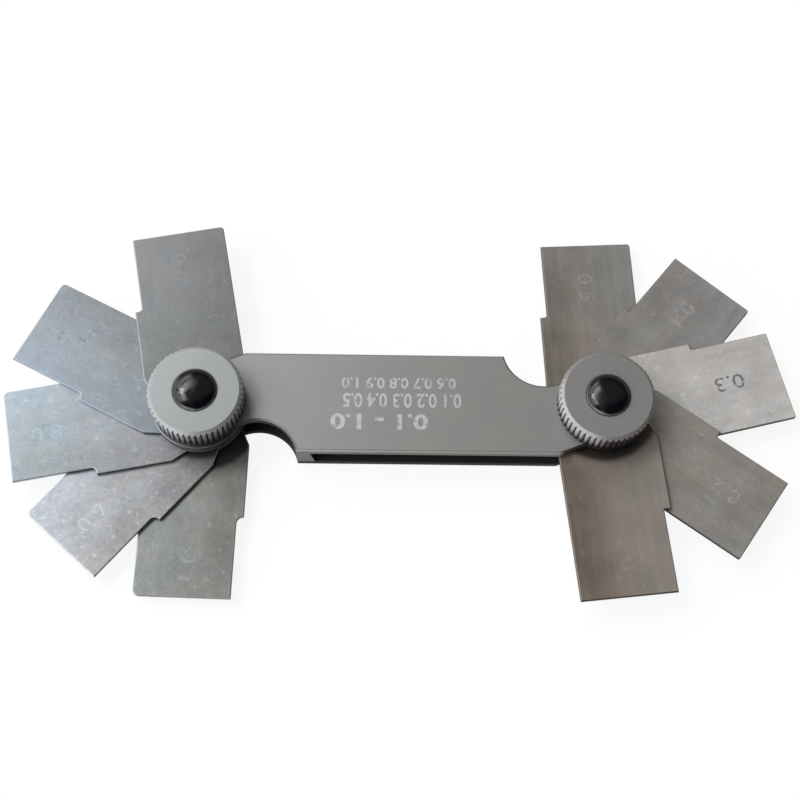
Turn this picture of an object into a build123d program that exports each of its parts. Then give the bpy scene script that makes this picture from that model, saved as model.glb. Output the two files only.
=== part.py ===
from build123d import *
import os
from math import cos, radians, sin, sqrt

# Folding radius gauge: ten blades in two stacks, pivoted at the ends of a two-plate holder.
# Millimetres. The origin is the middle of the holder's flat back face, +Z points out of the
# front, where the knurled nuts are, and +X runs along the holder from left pivot to right.
# Half a turn about Z brings the tool onto itself, apart from the radii and the blades' swing.

# Holder plates
pivot_spacing = 61.0
plate_width = 15.6
plate_thickness = 1.4
plate_edge_bevel = 0.28
boss_radius = 6.66
plate_shoulder_reach = 6.8
plate_shoulder_angle = 21.0

# A finger scallop beside each stack bares the edges of the folded blades, to push them out
scallop_radius = 6.1
scallop_depth = 4.8

# Two lugs, bent up from the back plate, carry the front plate and stop the blades
lug_length = 2.0
lug_flare = 0.6

# Blades
blades_per_end = 5
blade_thickness = 0.7
blade_width = 15.4
blade_reach = 29.0
tip_length = 12.4
step_depth = 1.05
smallest_radius = 0.1
root_radius = 7.2
blade_shoulder_reach = 5.3
blade_shoulder_angle = 25.0

# Studs and nuts
stud_radius = 3.25
stud_head_radius = 4.2
dome_height = 1.3
nut_radius = 7.13
nut_height = 4.2
nut_bevel = 0.6
nut_bore_chamfer = 0.12
knurl_teeth = 52
knurl_depth = 0.24

# Clearances
leaf_gap = 0.02
bearing_gap = 0.05
seat_gap = 0.02

# How far each blade is swung, in degrees from +X, from the front of the stack to its back
left_directions = [100.8, 153.1, 191.4, 229.0, 268.4]
right_directions = [276.3, 324.7, 13.8, 50.4, 92.9]

# Heights and places that follow from the sizes above
pivot_x = pivot_spacing / 2
half_width = plate_width / 2
blade_pitch = blade_thickness + leaf_gap
front_bottom = plate_thickness + blades_per_end * blade_pitch + leaf_gap
front_top = front_bottom + plate_thickness
nut_bottom = front_top + seat_gap
nut_top = nut_bottom + nut_height
stud_hole_radius = stud_radius + bearing_gap
stud_head_height = stud_head_radius - stud_radius

os.makedirs("parts", exist_ok=True)


def save(piece, label):
    piece.label = label
    export_step(piece, f"parts/{label}.step")


def shoulder_end(start_x, start_y, angle, radius):
    """Where a slope that starts at an edge and falls towards the pivot meets the pivot's round."""
    run = cos(radians(angle))
    fall = sin(radians(angle))
    along = start_x * run + start_y * fall
    reach = along - sqrt(along**2 - (start_x**2 + start_y**2 - radius**2))
    return Vector(start_x - reach * run, start_y - reach * fall)


def upright_plane(x):
    """A plane through a pivot's axis, with its own x outwards and its own y up."""
    return Plane(origin=(x, 0, 0), x_dir=(1, 0, 0), z_dir=(0, -1, 0))


# The scallop's round touches the boss's round, so one runs into the other in a smooth S
scallop_y = half_width - scallop_depth + scallop_radius
scallop_x = pivot_x - sqrt((scallop_radius + boss_radius) ** 2 - scallop_y**2)
scallop_corner_x = scallop_x - sqrt(scallop_radius**2 - (scallop_y - half_width) ** 2)
to_scallop = Vector(scallop_x - pivot_x, scallop_y).normalized()
boss_start = Vector(pivot_x, 0) + to_scallop * boss_radius
slope = shoulder_end(plate_shoulder_reach, half_width, plate_shoulder_angle, boss_radius)

# Both plates have this outline: its upper half, then the same half turned about the middle
with BuildSketch() as plate_outline:
    with BuildLine():
        for turn in (1, -1):
            top_start = Vector(plate_shoulder_reach - pivot_x, half_width) * turn
            top_end = Vector(scallop_corner_x, half_width) * turn
            scallop_floor = Vector(scallop_x, scallop_y - scallop_radius) * turn
            boss_tip = Vector(pivot_x + boss_radius, 0) * turn
            boss_end = Vector(pivot_x - slope.X, -slope.Y) * turn
            Line(top_start, top_end)
            ThreePointArc(top_end, scallop_floor, boss_start * turn)
            ThreePointArc(boss_start * turn, boss_tip, boss_end)
            Line(boss_end, -top_start)
    make_face()

# The back plate has the lugs, which widen towards the bend at their root and end at the
# scallop, and it is countersunk from behind for the heads of the studs
with BuildPart() as back_plate:
    add(plate_outline.sketch)
    extrude(amount=plate_thickness)
    for side in (1, -1):
        for height, flare in ((plate_thickness, lug_flare), (front_bottom, 0)):
            lug_start = scallop_corner_x - lug_length - flare
            lug_end = scallop_corner_x + scallop_depth / 2
            lug_middle = ((lug_start + lug_end) / 2, half_width - plate_thickness / 2)
            with BuildSketch(Plane.XY.offset(height)):
                with Locations(Vector(lug_middle) * side):
                    Rectangle(lug_end - lug_start, plate_thickness)
        loft()
    add(plate_outline.sketch)
    extrude(amount=front_bottom, mode=Mode.INTERSECT)
    chamfer(back_plate.faces().sort_by(Axis.Z)[0].edges(), plate_edge_bevel)
    with Locations([Plane(origin=(x, 0, 0), z_dir=(0, 0, -1)) for x in (-pivot_x, pivot_x)]):
        CounterSinkHole(
            radius=stud_hole_radius,
            counter_sink_radius=stud_head_radius + bearing_gap,
            counter_sink_angle=90,
        )
save(back_plate.part, "back_plate")

with BuildPart() as front_plate:
    with BuildSketch(Plane.XY.offset(front_bottom)):
        add(plate_outline.sketch)
    extrude(amount=plate_thickness)
    chamfer(front_plate.faces().sort_by(Axis.Z)[-1].edges(), plate_edge_bevel)
    with Locations((-pivot_x, 0, front_top), (pivot_x, 0, front_top)):
        Hole(radius=stud_hole_radius)
save(front_plate.part, "front_plate")


def make_blade(pivot, direction, layer, number):
    """A blade in its own plane: x runs from the pivot to the tip, and layer 0 is the front one.

    The tip's right corner has the radius, and so has the hollow corner of the step on the left.
    """
    radius = number * smallest_radius
    heading = radians(direction)
    bottom = front_bottom - (layer + 1) * blade_pitch
    blade_plane = Plane(
        origin=(pivot, 0, bottom), x_dir=(cos(heading), sin(heading), 0), z_dir=(0, 0, 1)
    )
    edge_y = blade_width / 2
    tip_y = edge_y - step_depth
    step_x = blade_reach - tip_length
    root = shoulder_end(blade_shoulder_reach, edge_y, blade_shoulder_angle, root_radius)
    with BuildPart() as blade:
        with BuildSketch(blade_plane) as outline:
            with BuildLine():
                Polyline(
                    (root.X, -root.Y),
                    (blade_shoulder_reach, -edge_y),
                    (blade_reach, -edge_y),
                    (blade_reach, tip_y),
                    (step_x, tip_y),
                    (step_x, edge_y),
                    (blade_shoulder_reach, edge_y),
                    (root.X, root.Y),
                )
                ThreePointArc((root.X, root.Y), (-root_radius, 0), (root.X, -root.Y))
            make_face()
            columns = outline.vertices().group_by(Axis.X)
            tip_corner = columns[-1].sort_by(Axis.Y)[0]
            step_corner = columns[-2].sort_by(Axis.Y)[0]
            fillet([tip_corner, step_corner], radius)
            Circle(stud_hole_radius, mode=Mode.SUBTRACT)
        extrude(amount=blade_thickness)
    save(blade.part, f"blade_r{number:02d}")


# The right stack has the smaller radii, and in both the radius grows towards the back
for layer in range(blades_per_end):
    make_blade(pivot_x, right_directions[layer], layer, layer + 1)
    make_blade(-pivot_x, left_directions[layer], layer, layer + 1 + blades_per_end)


def make_stud(label, x):
    """A stud with a flush cone head at the back and a domed end that stands out of the nut."""
    dome_sphere = (stud_radius**2 + dome_height**2) / (2 * dome_height)
    with BuildPart() as stud:
        with BuildSketch(upright_plane(x)):
            with BuildLine():
                Polyline(
                    (0, nut_top + dome_height),
                    (0, 0),
                    (stud_head_radius, 0),
                    (stud_radius, stud_head_height),
                    (stud_radius, nut_top),
                )
                RadiusArc((stud_radius, nut_top), (0, nut_top + dome_height), -dome_sphere)
            make_face()
        revolve(axis=Axis((x, 0, 0), (0, 0, 1)))
    save(stud.part, label)


def make_nut(label, x):
    """A round nut with a straight knurl that runs out in the bevel round its top face."""
    groove_side = knurl_depth * sqrt(2)
    with BuildPart() as nut:
        with BuildSketch(Plane(origin=(x, 0, nut_bottom))):
            Circle(nut_radius)
            with PolarLocations(nut_radius, knurl_teeth):
                Rectangle(groove_side, groove_side, rotation=45, mode=Mode.SUBTRACT)
        extrude(amount=nut_height)
        with BuildSketch(upright_plane(x)):
            with BuildLine():
                Polyline(
                    (stud_hole_radius, nut_bottom),
                    (nut_radius, nut_bottom),
                    (nut_radius, nut_top - nut_bevel),
                    (nut_radius - nut_bevel, nut_top),
                    (stud_hole_radius + nut_bore_chamfer, nut_top),
                    (stud_hole_radius, nut_top - nut_bore_chamfer),
                    close=True,
                )
            make_face()
        revolve(axis=Axis((x, 0, 0), (0, 0, 1)), mode=Mode.INTERSECT)
    save(nut.part, label)


for name, x in (("left", -pivot_x), ("right", pivot_x)):
    make_stud(f"{name}_stud", x)
    make_nut(f"{name}_nut", x)
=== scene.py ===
from math import cos, pi, radians, sin, sqrt

import bmesh
import bpy
from mathutils import Matrix, Vector


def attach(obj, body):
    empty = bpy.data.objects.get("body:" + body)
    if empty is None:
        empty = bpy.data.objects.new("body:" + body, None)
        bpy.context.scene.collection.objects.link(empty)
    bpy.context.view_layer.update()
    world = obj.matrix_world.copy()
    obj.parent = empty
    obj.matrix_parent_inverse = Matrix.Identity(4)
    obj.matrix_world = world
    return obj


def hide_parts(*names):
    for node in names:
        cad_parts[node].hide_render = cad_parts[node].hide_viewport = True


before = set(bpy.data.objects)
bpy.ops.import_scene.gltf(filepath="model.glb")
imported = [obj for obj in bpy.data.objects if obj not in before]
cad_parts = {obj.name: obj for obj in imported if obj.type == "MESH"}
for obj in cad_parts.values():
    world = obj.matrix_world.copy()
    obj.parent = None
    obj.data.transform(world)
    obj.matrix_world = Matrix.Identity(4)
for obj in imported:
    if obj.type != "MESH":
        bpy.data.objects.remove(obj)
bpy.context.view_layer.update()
scene = bpy.context.scene
MM = 0.001


# The camera stands a hand's length in front of the tool, a little below its middle, and
# looks down on the holder and the fanned blades.
camera_data = bpy.data.cameras.new("camera")
camera_data.sensor_width = 36.0
camera_data.lens = 60.613
camera_data.clip_start = 0.01
camera = bpy.data.objects.new("camera", camera_data)
camera.location = (-4.1354 * MM, -70.3243 * MM, 196.0849 * MM)
camera.rotation_euler = (radians(20.43884), radians(-1.28322), radians(0.27523))
scene.collection.objects.link(camera)
scene.camera = camera
scene.view_settings.view_transform = "Standard"


# The studio: a white sheet under the tool, soft light that is stronger and cooler on the left
# and weak on the near side, a pale horizon with a low glow from the front left, and a window
# with four panes at the upper left.
class Shade:
    """A socket of a node tree that takes part in sums; every operation adds its node."""

    def __init__(self, tree, socket=None):
        self.tree = tree
        self.socket = socket

    def node(self, kind, settings=(), inputs=(), output=0):
        made = self.tree.nodes.new(kind)
        for name, value in dict(settings).items():
            setattr(made, name, value)
        for name, value in dict(inputs).items():
            if isinstance(value, Shade):
                self.tree.links.new(value.socket, made.inputs[name])
            else:
                made.inputs[name].default_value = value
        return Shade(self.tree, made.outputs[output] if made.outputs else None)

    def maths(self, operation, *others):
        return self.node("ShaderNodeMath", {"operation": operation}, enumerate((self, *others)))

    def __add__(self, other):
        return self.maths("ADD", other)

    def __sub__(self, other):
        return self.maths("SUBTRACT", other)

    def __rsub__(self, other):
        return self * -1 + other

    def __mul__(self, other):
        return self.maths("MULTIPLY", other)

    __radd__ = __add__
    __rmul__ = __mul__

    def rise(self, low, high):
        """0 at low and 1 at high, with a soft start and end."""
        settings = {"interpolation_type": "SMOOTHSTEP"}
        return self.node("ShaderNodeMapRange", settings, {0: self, 1: low, 2: high})

    def mix(self, first, second):
        """The first colour where this is 0 and the second where it is 1."""
        return self.node("ShaderNodeMix", {"data_type": "RGBA"}, {0: self, 6: first, 7: second}, 2)

    def scaled(self, factor):
        """This colour or place, multiplied by a number."""
        return self.node("ShaderNodeVectorMath", {"operation": "SCALE"}, {0: self, 3: factor})

    def part(self, axis):
        return self.node("ShaderNodeSeparateXYZ", (), {0: self}, axis)


def screen(red, green, blue):
    """A colour written as it shows on a screen, 0 to 255."""
    linear = []
    for value in (red, green, blue):
        value /= 255
        linear.append(value / 12.92 if value <= 0.04045 else ((value + 0.055) / 1.055) ** 2.4)
    return (*linear, 1.0)


white = (1.0, 1.0, 1.0, 1.0)
left_level = 0.32
right_level = 0.28
window_level = 6.6
wall_level = 2.0
horizon_level = 0.6
glow_level = 5.0
world = bpy.data.worlds.new("studio")
world.use_nodes = True
world.node_tree.nodes.clear()
sky = Shade(world.node_tree)
toward = sky.node("ShaderNodeTexCoord")
across = toward.part("X")
slide = across.rise(-0.38, 0.38)
level = left_level - slide * (left_level - right_level)
along = toward.part("Y")
height = toward.part("Z")
near_side = (across * 0.5 - along * 0.87).rise(0.05, 0.4)
wall = (across * -1 - along * 0.3).rise(0.35, 0.65) * height.rise(0.5, 0.3)
bearing = along.maths("ARCTAN2", across * -1)
panes = bearing.rise(-0.6, -0.4) * bearing.rise(1.4, 1.1)
panes = panes * height.rise(0.36, 0.42) * height.rise(0.93, 0.86)
bars = (bearing - 0.3).maths("ABSOLUTE").rise(0.07, 0.02)
bars = bars.maths("MAXIMUM", (height - 0.7).maths("ABSOLUTE").rise(0.045, 0.015))
window = panes * (1 - bars) * (0.35 + height.rise(0.45, 0.8) * 0.65)
level = level * (1 - near_side * 0.95) * (0.12 + height.rise(0.3, 0.85) * 0.88)
horizon = height.rise(0.42, 0.12) * (horizon_level - near_side * horizon_level * 0.5)
glow = (across * -0.5 - along * 0.87).rise(0.86, 0.97) * height.rise(0.34, 0.1)
level = level + horizon + wall * wall_level + window * window_level + glow * glow_level
tint = slide.mix((0.985, 1.0, 1.015, 1), (1.015, 1.0, 0.985, 1))
seen = sky.node("ShaderNodeLightPath", (), (), "Is Camera Ray")
lit = sky.node("ShaderNodeBackground", (), {"Color": tint, "Strength": level})
plain = sky.node("ShaderNodeBackground", (), {"Color": white, "Strength": 1.0})
both = sky.node("ShaderNodeMixShader", (), {0: seen, 1: lit, 2: plain})
sky.node("ShaderNodeOutputWorld", (), {"Surface": both})
scene.world = world

floor_reach = 3.0
floor_height = -0.2 * MM
floor_mesh = bpy.data.meshes.new("floor")
floor_corners = [
    (-floor_reach, -floor_reach, floor_height),
    (floor_reach, -floor_reach, floor_height),
    (floor_reach, floor_reach, floor_height),
    (-floor_reach, floor_reach, floor_height),
]
floor_mesh.from_pydata(floor_corners, [], [(0, 1, 2, 3)])
floor = bpy.data.objects.new("floor", floor_mesh)
scene.collection.objects.link(floor)
paper = bpy.data.materials.new("white_sheet")
paper.use_nodes = True
paper.node_tree.nodes.clear()
sheet = Shade(paper.node_tree)
camera_ray = sheet.node("ShaderNodeLightPath", (), (), "Is Camera Ray")
glossy_ray = sheet.node("ShaderNodeLightPath", (), (), "Is Glossy Ray")
through_ray = sheet.node("ShaderNodeLightPath", (), (), "Is Transmission Ray")
paper_tone = camera_ray.mix((0.18, 0.18, 0.18, 1), (0.9, 0.9, 0.9, 1))
dull = sheet.node("ShaderNodeBsdfDiffuse", (), {"Color": paper_tone})
bright = sheet.node("ShaderNodeEmission", (), {"Color": white, "Strength": 1.0})
share = camera_ray * 0.9 + (glossy_ray + through_ray) * 0.08
surface = sheet.node("ShaderNodeMixShader", (), {0: share, 1: dull, 2: bright})
sheet.node("ShaderNodeOutputMaterial", (), {"Surface": surface})
floor_mesh.materials.append(paper)


def add_lamp(name, direction, distance, size, power, color):
    """A square lamp that faces the middle of the tool."""
    data = bpy.data.lights.new(name, "AREA")
    data.size = size
    data.energy = power
    data.color = color
    lamp = bpy.data.objects.new(name, data)
    out = Vector(direction).normalized()
    lamp.location = out * distance
    lamp.rotation_euler = out.to_track_quat("Z", "Y").to_euler()
    scene.collection.objects.link(lamp)


add_lamp(
    "bright_pane", direction=(-0.62, 0.19, 0.76), distance=0.6, size=0.14, power=0.74,
    color=(0.98, 0.95, 1.0),
)


# The holder: two flat steel plates with a fine satin finish. The back plate has lugs bent up
# at two corners, which carry the front plate; numbers are etched in the front one.
def noise(place, scales, detail=2.0, roughness=0.5):
    """Soft noise whose cells are one unit across, after the place is multiplied by the scales."""
    stretched = place.node("ShaderNodeVectorMath", {"operation": "MULTIPLY"}, {0: place, 1: scales})
    inputs = {"Vector": stretched, "Scale": 1.0, "Detail": detail, "Roughness": roughness}
    return place.node("ShaderNodeTexNoise", (), inputs)


def surface_place(shade, centre, turn):
    """Millimetres from the centre, along and across a piece that lies at this angle."""
    where = shade.node("ShaderNodeTexCoord", (), (), "Object")
    inputs = {
        "Vector": where,
        "Location": (*centre, 0.0),
        "Rotation": (0, 0, radians(turn)),
        "Scale": (MM, MM, MM),
    }
    return shade.node("ShaderNodeMapping", {"vector_type": "TEXTURE"}, inputs)


def metal(name, color_of, specular=0.5):
    """A material; color_of gives its colour, roughness, relief, relief in mm and metal share."""
    material = bpy.data.materials.new(name)
    material.use_nodes = True
    material.node_tree.nodes.clear()
    shade = Shade(material.node_tree)
    color, roughness, relief, depth, metallic = color_of(shade)
    inputs = {"Strength": 1.0, "Distance": depth * MM, "Height": relief}
    bump = shade.node("ShaderNodeBump", (), inputs)
    inputs = {
        "Base Color": color,
        "Roughness": roughness,
        "Metallic": metallic,
        "Normal": bump,
        "Specular IOR Level": specular,
    }
    finish = shade.node("ShaderNodeBsdfPrincipled", (), inputs)
    shade.node("ShaderNodeOutputMaterial", (), {"Surface": finish})
    return material


def dress(node, material):
    """Gives a CAD node its material."""
    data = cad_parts[node].data
    data.materials.clear()
    data.materials.append(material)


def plate_look(shade):
    """Satin steel with painted light: long edges lit, painted shade on the inner faces and the back
    plate's edges.
    """
    place = surface_place(shade, (0, 0), 0)
    up = shade.node("ShaderNodeTexCoord", (), (), "Normal").part("Z").maths("ABSOLUTE")
    grain = noise(place, (0.6, 6.0, 3.0), 3.0)
    specks = noise(place, (4.0, 4.0, 4.0), 2.0)
    clouds = noise(place, (0.12, 0.16, 0.2), 2.0)
    level = 0.9 + (grain - 0.5) * 0.1 + (specks - 0.5) * 0.14 + (clouds - 0.5) * 0.12
    face = up.rise(0.8, 0.95)
    # painted light and shade on the edge walls: the long straight edges lit, the scallop and boss
    # walls and the back plate's edges in painted shade
    straight = place.part("Y").maths("ABSOLUTE").rise(7.5, 7.7)
    height = place.part("Z")
    edge = (0.4 + straight * 1.1) * (1 - height.rise(1.5, 1.3) * 0.8)
    # painted shadow on the edge walls round the bosses, under the nuts; the chamfers a tenth
    # lighter
    boss_shadow = place.part("X").maths("ABSOLUTE").rise(23.5, 26.0)
    edge = edge * (1 + up.rise(0.3, 0.6) * 0.1) * (1 - boss_shadow * 0.6)
    # painted shade on the inner faces, in the slot between the plates
    slot_shade = height.rise(1.3, 1.38) * height.rise(5.1, 5.03)
    level = level * (face * (1 - slot_shade * 0.75) + (1 - face) * edge)
    # warmer to the right: partly random clouds, partly a painted tint of the warmer light on that
    # side
    warm = clouds.rise(0.35, 0.65) * 0.4 + place.part("X").rise(-26, 10) * 0.6
    tint = warm.mix(screen(138, 139, 139), screen(141, 139, 134))
    return tint.scaled(level * 1.1), 0.38 + (specks - 0.5) * 0.1, grain + specks, 0.004, 0.55


plate_steel = metal("plate_steel", plate_look)
for node in ("back_plate", "front_plate"):
    dress(node, plate_steel)


# The numbers on the front plate: plain figures, lightly etched, in three rows that are read
# from the other side of the tool.
plate_top = 6.42
etch_rise = 0.015


def figures(name, text, size, centre, turn, top, material, body, weight=0.0):
    """Plain figures as a thin inlay, of this length and height, with their top this high."""
    curve = bpy.data.curves.new(name, "FONT")
    curve.body = text
    curve.offset = weight
    curve.extrude = 0.5
    curve.resolution_u = 4
    words = bpy.data.objects.new(name, curve)
    scene.collection.objects.link(words)
    evaluated = words.evaluated_get(bpy.context.evaluated_depsgraph_get())
    shape = bpy.data.meshes.new_from_object(evaluated)
    bpy.data.objects.remove(words)
    spans = [[vertex.co[axis] for vertex in shape.vertices] for axis in range(3)]
    middle = Vector((min(span) + max(span)) / 2 for span in spans)
    depth = 0.05
    scales = [
        target * MM / (max(span) - min(span)) for target, span in zip((*size, depth), spans)
    ]
    shape.transform(Matrix.Translation(-middle))
    shape.transform(Matrix.Diagonal((*scales, 1)))
    shape.transform(Matrix.Rotation(radians(turn), 4, "Z"))
    shape.transform(Matrix.Translation(Vector((*centre, top - depth / 2)) * MM))
    shape.materials.clear()
    shape.materials.append(material)
    piece = bpy.data.objects.new(name, shape)
    scene.collection.objects.link(piece)
    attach(piece, body)


def etched(tone, steel_tone):
    """Figures of one tone, worn through to the steel in places."""

    def look(shade):
        place = surface_place(shade, (0, 0), 0)
        wear_and_sheen = noise(place, (1.1, 1.1, 1.0), 3.0).rise(0.5, 0.64)
        specks = noise(place, (5.0, 5.0, 5.0), 2.0)
        color = (wear_and_sheen * 0.8).mix(screen(*tone), screen(*steel_tone))
        return color.scaled(0.94 + (specks - 0.5) * 0.3), 0.45 + wear_and_sheen * 0.1, specks, 0.002, 0.6

    return look


pale_figures = metal("pale_figures", etched((182, 184, 184), (150, 151, 150)))
rows = [
    ("figures_large_row", "0.1 - 1.0", (14.6, 2.5), (-3.3, -3.1), 0.03),
    ("figures_middle_row", "0.1 0.2 0.3 0.4 0.5", (17.8, 2.3), (0.1, 0.3), 0.02),
    ("figures_far_row", "0.6 0.7 0.8 0.9 1.0", (17.2, 1.8), (-0.4, 3.1), 0.02),
]
for name, text, size, centre, weight in rows:
    figures(
        name, text, size, centre, 180, plate_top + etch_rise,
        pale_figures, "holder", weight,
    )


# The studs: turned steel pins with a cone head, flush in the back plate. The rounded end that
# stands out of the nut is blackened and polished.
pivot_x = 30.5
stud_radius = 3.25
stud_head_radius = 4.2
stud_rim = 10.64
dome_height = 1.3
dome_rings = 16


def lathe(name, profile, axis_x, closed=False):
    """A turned piece: radii and heights in mm, from its top outwards and down."""
    steps = 96
    crease = radians(32)
    turned = bmesh.new()
    rings = []
    for radius, height in profile:
        turns = [2 * pi * step / steps for step in range(steps if radius else 1)]
        rings.append([
            turned.verts.new(
                ((axis_x + radius * cos(angle)) * MM, radius * sin(angle) * MM, height * MM)
            )
            for angle in turns
        ])
    for upper, lower in zip(rings, rings[1:] + (rings[:1] if closed else [])):
        for step in range(steps):
            corners = [upper[step % len(upper)], lower[step % len(lower)]]
            corners += [lower[(step + 1) % len(lower)], upper[(step + 1) % len(upper)]]
            turned.faces.new(dict.fromkeys(corners))
    bmesh.ops.recalc_face_normals(turned, faces=turned.faces)
    shape = bpy.data.meshes.new(name)
    turned.to_mesh(shape)
    turned.free()
    shape.shade_smooth()
    shape.set_sharp_from_angle(angle=crease)
    return shape


def black_look(shade):
    """Bare steel up to the nut's top, and polished black with smears above it."""
    place = surface_place(shade, (0, 0), 0)
    black = place.part("Z").rise(10.9, 10.96)
    specks = noise(place, (3.0, 3.0, 3.0), 2.0)
    smears = noise(place, (0.8, 0.5, 0.6), 3.0).rise(0.45, 0.65)
    color = black.mix(screen(140, 140, 140), screen(9, 9, 14))
    return color, 0.38 - black * (0.26 - smears * 0.16), specks, 0.0004, 0.8 - black * 0.8


stud_black = metal("stud_black", black_look, specular=0.36)
for name, side in (("left", -1), ("right", 1)):
    stud_profile = []
    for step in range(dome_rings + 1):
        out = sin(pi / 2 * step / dome_rings)
        stud_profile.append((stud_radius * out, stud_rim + dome_height * sqrt(1 - out**2)))
    stud_profile += [(stud_radius, stud_head_radius - stud_radius), (stud_head_radius, 0), (0, 0)]
    stud_shape = lathe(f"{name}_stud_turned", stud_profile, side * pivot_x)
    stud_shape.materials.append(stud_black)
    stud = bpy.data.objects.new(f"{name}_stud_turned", stud_shape)
    scene.collection.objects.link(stud)
    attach(stud, "holder")
    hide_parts(f"{name}_stud")


# The nuts: round steel thumb nuts, turned and faced, with a straight knurl of fine rounded
# ribs that run out in a bevel round the top, bright from wear and painted sheen.
nut_radius = 7.13
nut_bottom = 6.44
nut_top = 10.64
bore_radius = 3.3
bore_chamfer = 0.12
groove_depth = 0.24
bevel = 0.6
rib_count = 52

knurl = bpy.data.node_groups.new("knurl", "GeometryNodeTree")
knurl_inputs = {
    "Body": "Geometry",
    "Rib": "Object",
    "Ribs": "Int",
    "Axis": "Vector",
    "Steel": "Material",
}
knurl_sockets = {}
for name, kind in knurl_inputs.items():
    knurl_sockets[name] = knurl.interface.new_socket(
        name, in_out="INPUT", socket_type=f"NodeSocket{kind}"
    ).identifier
knurl.interface.new_socket("Nut", in_out="OUTPUT", socket_type="NodeSocketGeometry")
given = {socket.name: Shade(knurl, socket) for socket in knurl.nodes.new("NodeGroupInput").outputs}
make = Shade(knurl)
points = make.node("GeometryNodePoints", (), {"Count": given["Ribs"]})
turn = make.node("GeometryNodeInputIndex").maths("DIVIDE", given["Ribs"]) * (2 * pi)
spin = make.node("ShaderNodeCombineXYZ", (), {"Z": turn})
rib = make.node("GeometryNodeObjectInfo", (), {"Object": given["Rib"]}, "Geometry")
ring = make.node(
    "GeometryNodeInstanceOnPoints", (), {"Points": points, "Instance": rib, "Rotation": spin}
)
placed = make.node("GeometryNodeTransform", (), {"Geometry": ring, "Translation": given["Axis"]})
nut_parts = make.node("GeometryNodeJoinGeometry", (), {0: placed})
knurl.links.new(given["Body"].socket, nut_parts.socket.node.inputs[0])
whole = make.node("GeometryNodeRealizeInstances", (), {"Geometry": nut_parts})
coated = make.node("GeometryNodeSetMaterial", (), {"Geometry": whole, "Material": given["Steel"]})
make.node("NodeGroupOutput", (), {"Nut": coated})

# a rib's section: how far from the nut's axis, and how far aside of the rib's middle
rib_shape = bmesh.new()
rib_section = [(6.8, 0.39), (6.92, 0.34), (7.05, 0.26), (7.12, 0.14), (7.13, 0.0)]
rib_section += [(out, -aside) for out, aside in reversed(rib_section[:-1])]
rib_rings = []
for out, aside in rib_section:
    run_out = nut_top - max(0.0, out - nut_radius + bevel)
    rib_rings.append([
        rib_shape.verts.new((out * MM, aside * MM, height * MM)) for height in (nut_bottom, run_out)
    ])
for first, second in zip(rib_rings, rib_rings[1:] + rib_rings[:1]):
    rib_shape.faces.new((first[0], second[0], second[1], first[1]))
for end in (0, 1):
    rib_shape.faces.new([pair[end] for pair in rib_rings])
bmesh.ops.recalc_face_normals(rib_shape, faces=rib_shape.faces)
rib_mesh = bpy.data.meshes.new("rib")
rib_shape.to_mesh(rib_mesh)
rib_shape.free()
rib_object = bpy.data.objects.new("rib", rib_mesh)
scene.collection.objects.link(rib_object)


def from_axis(place):
    """How far a place is from the upright axis through the centre."""
    inputs = {0: place, 1: (1, 1, 0)}
    outward = place.node("ShaderNodeVectorMath", {"operation": "MULTIPLY"}, inputs)
    return place.node("ShaderNodeVectorMath", {"operation": "LENGTH"}, {0: outward}, "Value")


def nut_look(axis_x, tone, wear_and_sheen, foot_shade_share, painted_shade):
    """Turned steel: bevel lit by wear and painted sheen; painted shade in grooves, at the foot, on
    one side.
    """
    # the side whose ribs get painted shade, facing away from the window
    away_heading = radians(300)

    def look(shade):
        place = surface_place(shade, (axis_x * MM, 0), 0)
        radius = from_axis(place)
        inputs = {"W": radius * 6.0, "Scale": 1.0}
        rings = radius.node("ShaderNodeTexNoise", {"noise_dimensions": "1D"}, inputs)
        specks = noise(place, (5.0, 5.0, 5.0), 2.0)
        clouds = noise(place, (0.25, 0.25, 0.25), 2.0)
        up = shade.node("ShaderNodeTexCoord", (), (), "Normal").part("Z").maths("ABSOLUTE")
        level = 0.88 + (specks - 0.5) * 0.12 + (clouds - 0.5) * 0.12 + (rings - 0.5) * 0.05
        wall = up.rise(0.5, 0.2)
        slope = up.rise(0.95, 0.85) * up.rise(0.3, 0.6)
        # painted shade in the grooves and on the lower part of the ribs, next to the plate
        groove_shade = wall * radius.rise(7.1, 6.9)
        foot_shade = wall * place.part("Z").rise(9.4, 6.8)
        # painted shade, brownish, on the ribs that face away from the window
        away_side = place.part("X") * cos(away_heading) + place.part("Y") * sin(away_heading)
        away_shade = wall * away_side.rise(5.0, 6.4) * painted_shade
        level = level * (1 - groove_shade * 0.75) * (1 - foot_shade * foot_shade_share) * (1 - away_shade * 0.8)
        # the bevel a little lighter: partly wear, partly painted sheen
        level = level * (1 + wall * 0.5 + slope * wear_and_sheen * 0.1)
        color = clouds.mix(screen(*tone), screen(*[part * 0.98 for part in tone]))
        # the painted shade in the grooves and at the foot takes a violet tint
        color = (groove_shade * 0.6 + foot_shade * 0.4).mix(color, screen(96, 88, 120))
        color = away_shade.mix(color, screen(112, 88, 92))
        metallic = 0.55 - (wall + slope * wear_and_sheen) * 0.45
        roughness = 0.33 + (specks - 0.5) * 0.08 + wall * 0.1
        return color.scaled(level), roughness, specks + rings * 2, 0.002, metallic

    return look


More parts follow.
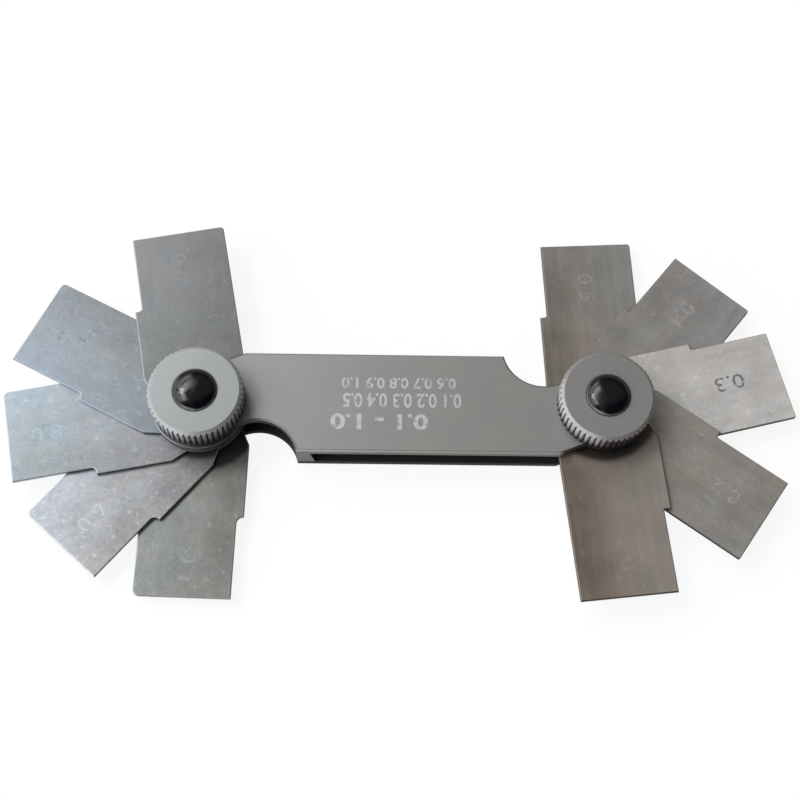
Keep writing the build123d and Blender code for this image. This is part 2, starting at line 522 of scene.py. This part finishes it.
# side, tone, the bevel's wear and sheen, and how strong the painted shade at the foot and on the
# far ribs is
for name, side, tone, wear_and_sheen, foot_shade_share, painted_shade in (
    ("left", -1, (151, 153, 153), 1.0, 0.85, 0.3),
    ("right", 1, (151, 149, 146), 0.2, 0.96, 1.0),
):
    axis_x = side * pivot_x
    steel = metal(f"{name}_nut_steel", nut_look(axis_x, tone, wear_and_sheen, foot_shade_share, painted_shade))
    core = nut_radius - groove_depth
    nut_profile = [
        (bore_radius, nut_top - bore_chamfer),
        (bore_radius + bore_chamfer, nut_top),
        (nut_radius - bevel, nut_top),
        (core, nut_top + nut_radius - bevel - core),
        (core, nut_bottom),
        (bore_radius, nut_bottom),
    ]
    body = bpy.data.objects.new("nut_body", lathe("nut_body", nut_profile, axis_x, closed=True))
    scene.collection.objects.link(body)
    ribbed = body.modifiers.new("knurl", "NODES")
    ribbed.node_group = knurl
    ribbed[knurl_sockets["Rib"]] = rib_object
    ribbed[knurl_sockets["Ribs"]] = rib_count
    ribbed[knurl_sockets["Axis"]] = (axis_x * MM, 0.0, 0.0)
    ribbed[knurl_sockets["Steel"]] = steel
    evaluated = body.evaluated_get(bpy.context.evaluated_depsgraph_get())
    nut_shape = bpy.data.meshes.new_from_object(evaluated)
    bpy.data.objects.remove(body)
    nut = bpy.data.objects.new(f"{name}_nut_knurled", nut_shape)
    scene.collection.objects.link(nut)
    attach(nut, f"{name}_nut")
    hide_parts(f"{name}_nut")
bpy.data.objects.remove(rib_object)


# The blades: ground spring-steel leaves, each with its radius etched near the tip. Their
# faces are streaked along their length, stained and scratched; their sharp edges are broken.
blade_reach = 29.0
blade_half_width = 7.7
step_x = 16.6
tip_half_width = 6.65
shoulder_x = 5.3
shoulder_angle = 25.0
edge_break = 0.14
blade_front = 5.0
blade_pitch = 0.72
mark_size = (4.6, 2.3)
mark_rise = 0.01
pale_mark = 1.14
dark_mark = 0.62

# body, figures, direction, side, layer, the figures' distance from the pivot;
# tones near the root and the tip, part the blade's own tone and part painted light, light
# across, streaks, mottling, how far out from the pivot painted shadow darkens the face, and
# how far out painted shadow darkens the edges
blades = [
    ("blade_r06", "0.6", 100.8, -1, 0, 23.2,
     (100, 103, 102), (105, 107, 108), 0.06, 0.25, 0.8, 0, 0),
    ("blade_r07", "0.7", 153.1, -1, 1, 22.6,
     (109, 115, 119), (109, 117, 124), 0.13, 0.15, 1.0, 0, 7.5),
    ("blade_r08", "0.8", 191.4, -1, 2, 23.2,
     (125, 128, 133), (122, 132, 138), -0.08, 0.15, 1.0, 0, 21.5),
    ("blade_r09", "0.9", 229.0, -1, 3, 23.0,
     (123, 126, 129), (143, 147, 151), -0.1, 0.15, 1.2, 8.7, 21.0),
    ("blade_r10", "1.0", 268.4, -1, 4, 24.2,
     (116, 119, 116), (122, 125, 123), -0.12, 0.25, 1.0, 10.4, 16.6),
    ("blade_r01", "0.1", 276.3, 1, 0, 23.0,
     (133, 125, 117), (135, 127, 119), 0.33, 0.8, 0.4, 9.0, 0),
    ("blade_r02", "0.2", 324.7, 1, 1, 22.0,
     (153, 150, 144), (149, 146, 141), 0.0, 0.5, 0.6, 0, 30),
    ("blade_r03", "0.3", 13.8, 1, 2, 20.8,
     (204, 203, 200), (200, 199, 197), -0.05, 0.4, 0.6, 0, 30),
    ("blade_r04", "0.4", 50.4, 1, 3, 21.6,
     (142, 142, 138), (147, 146, 145), -0.07, 0.5, 0.5, 0, 30),
    ("blade_r05", "0.5", 92.9, 1, 4, 21.6,
     (130, 125, 118), (135, 133, 129), -0.17, 0.9, 0.3, 0, 30),
]


def blade_look(
    direction, side, root_tone, tip_tone, across, streaks, mottling, painted_shade, gap_shadow_reach
):
    """Ground steel: streaks, stains, scratches, rim wear and painted glint, shadow and edge light.
    """

    def look(shade):
        place = surface_place(shade, (side * pivot_x * MM, 0), direction)
        along = place.part("X")
        sideways = place.part("Y")
        up = shade.node("ShaderNodeTexCoord", (), (), "Normal").part("Z").maths("ABSOLUTE")
        edge_limit = blade_half_width - (blade_half_width - tip_half_width) * along.rise(
            step_x - 0.01, step_x + 0.01
        )
        slope = (along - shoulder_x) * sin(radians(shoulder_angle)) - (
            sideways.maths("ABSOLUTE") - blade_half_width
        ) * cos(radians(shoulder_angle))
        from_edge = (edge_limit - sideways).maths("MINIMUM", blade_half_width + sideways)
        from_edge = from_edge.maths("MINIMUM", blade_reach - along)
        from_edge = from_edge.maths("MINIMUM", slope)
        # a lighter band along the rims: partly wear, partly a painted glint of the light on the
        # edges
        rim_wear_and_glint = from_edge.rise(0.28, 0.06)
        streak = noise(place, (0.05, 1.1, 0.5), 4.0, 0.6)
        fine = noise(place, (0.35, 7.0, 1.0), 2.0)
        grain = noise(place, (2.6, 2.6, 2.6), 3.0, 0.65)
        clouds = noise(place, (0.22, 0.3, 0.3), 3.0)
        hues = noise(place, (0.33, 0.5, 1.3), 2.0)
        blotches = noise(place, (0.7, 0.8, 0.8), 2.0)
        specks = noise(place, (0.9, 1.0, 1.0), 3.0, 0.6).rise(0.6, 0.7)
        hairs = noise(place, (0.16, 4.2, 1.0), 1.0).rise(0.73, 0.78)
        for lean, spread in ((35, 3.1), (-50, 3.6)):
            inputs = {"Vector": place, "Rotation": (0, 0, radians(lean))}
            leaning = place.node("ShaderNodeMapping", (), inputs)
            crossing = noise(leaning, (0.2, spread, 1.0), 1.0).rise(0.74, 0.79)
            hairs = hairs.maths("MAXIMUM", crossing)
        lighter = (sideways * (1 if across > 0 else -1)).rise(-5.5, -0.5)
        level = (
            1.0
            + (streak - 0.5) * streaks * 0.5
            + (fine - 0.5) * 0.1
            + (grain - 0.5) * mottling * 0.5
            + (clouds - 0.5) * 0.4
            + (blotches - 0.5) * mottling * 0.3
            + specks * mottling * 0.3
            + hairs * 0.3
            + rim_wear_and_glint * 0.2
            + sideways * (across * 0.6 / blade_half_width)
            + (lighter - 0.6) * abs(across) * 0.9
        )
        # painted shadow of the nut and plates on the face, out to this distance from the pivot
        level = level * (1 - from_axis(place).rise(painted_shade, painted_shade - 1.2) * 0.85)
        # the tones hold the blade's own finish and the painted light that its face catches
        tone = along.rise(4.0, 27.0).mix(screen(*root_tone), screen(*tip_tone))
        warm = (hues - sideways * (across * 2.2 / blade_half_width)).rise(0.3, 0.7)
        hue = warm.mix((0.99, 1.0, 1.01, 1.0), (1.07, 1.0, 0.94, 1.0))
        settings = {"data_type": "RGBA", "blend_type": "MULTIPLY"}
        tone = tone.node("ShaderNodeMix", settings, {0: 1.0, 6: tone, 7: hue}, 2)
        face = up.rise(0.93, 0.98)
        # painted shadow: the walls near-black violet out to this distance along the blade, where
        # another blade lies under them
        gap_shadow = along.rise(gap_shadow_reach, gap_shadow_reach - 1.0)
        # painted light: walls and bevels of the left-hand blades lit bright, those of the
        # right-hand blades darker
        wall_tone = gap_shadow.mix(tone.scaled(2.1 - side * 1.3), screen(22, 18, 30))
        edge_tone = up.rise(0.2, 0.36).mix(wall_tone, tone.scaled(1.1 - side * 0.7))
        color = face.mix(edge_tone, tone.scaled(level))
        roughness = 0.42 - face * (0.06 - specks * 0.1 - (clouds - 0.5) * 0.15)
        return color, roughness, fine + grain * 0.6, 0.003, 0.55

    return look


for name, text, direction, side, layer, figures_out, root_tone, tip_tone, *finish_and_shade in blades:
    steel = metal(f"steel_{name}", blade_look(direction, side, root_tone, tip_tone, *finish_and_shade))
    leaf = bmesh.new()
    leaf.from_mesh(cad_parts[name].data)
    bmesh.ops.remove_doubles(leaf, verts=leaf.verts, dist=0.001 * MM)
    bmesh.ops.dissolve_limit(leaf, angle_limit=radians(1), verts=leaf.verts, edges=leaf.edges)
    leaf.normal_update()
    sharp = [edge for edge in leaf.edges if edge.calc_face_angle(0) > radians(60)]
    sharp = [edge for edge in sharp if abs(edge.verts[0].co.z - edge.verts[1].co.z) < 0.01 * MM]
    bmesh.ops.bevel(
        leaf, geom=sharp, offset=edge_break * MM, segments=2, profile=0.5, affect="EDGES"
    )
    flats = [face for face in leaf.faces if abs(face.normal.z) > 0.999]
    bmesh.ops.delete(leaf, geom=flats, context="FACES")
    rims = [edge for edge in leaf.edges if edge.is_boundary]
    middle = sum(edge.verts[0].co.z for edge in rims) / len(rims)
    for side_up in (1, -1):
        rim_edges = [edge for edge in rims if (edge.verts[0].co.z - middle) * side_up > 0]
        bmesh.ops.triangle_fill(leaf, edges=rim_edges, use_beauty=True, normal=(0, 0, side_up))
    leaf_shape = bpy.data.meshes.new(f"{name}_leaf")
    leaf.to_mesh(leaf_shape)
    leaf.free()
    leaf_shape.materials.append(steel)
    piece = bpy.data.objects.new(f"{name}_leaf", leaf_shape)
    scene.collection.objects.link(piece)
    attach(piece, name)
    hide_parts(name)

    heading = radians(direction)
    centre = (side * pivot_x + figures_out * cos(heading), figures_out * sin(heading))
    top = blade_front - layer * blade_pitch + mark_rise
    contrast = dark_mark if name == "blade_r03" else pale_mark
    look = etched([part * contrast for part in tip_tone], tip_tone)
    material = metal(f"figures_on_{name}", look)
    figures(
        f"figures_{name}", text, mark_size, centre, direction + 180, top,
        material, name,
    )
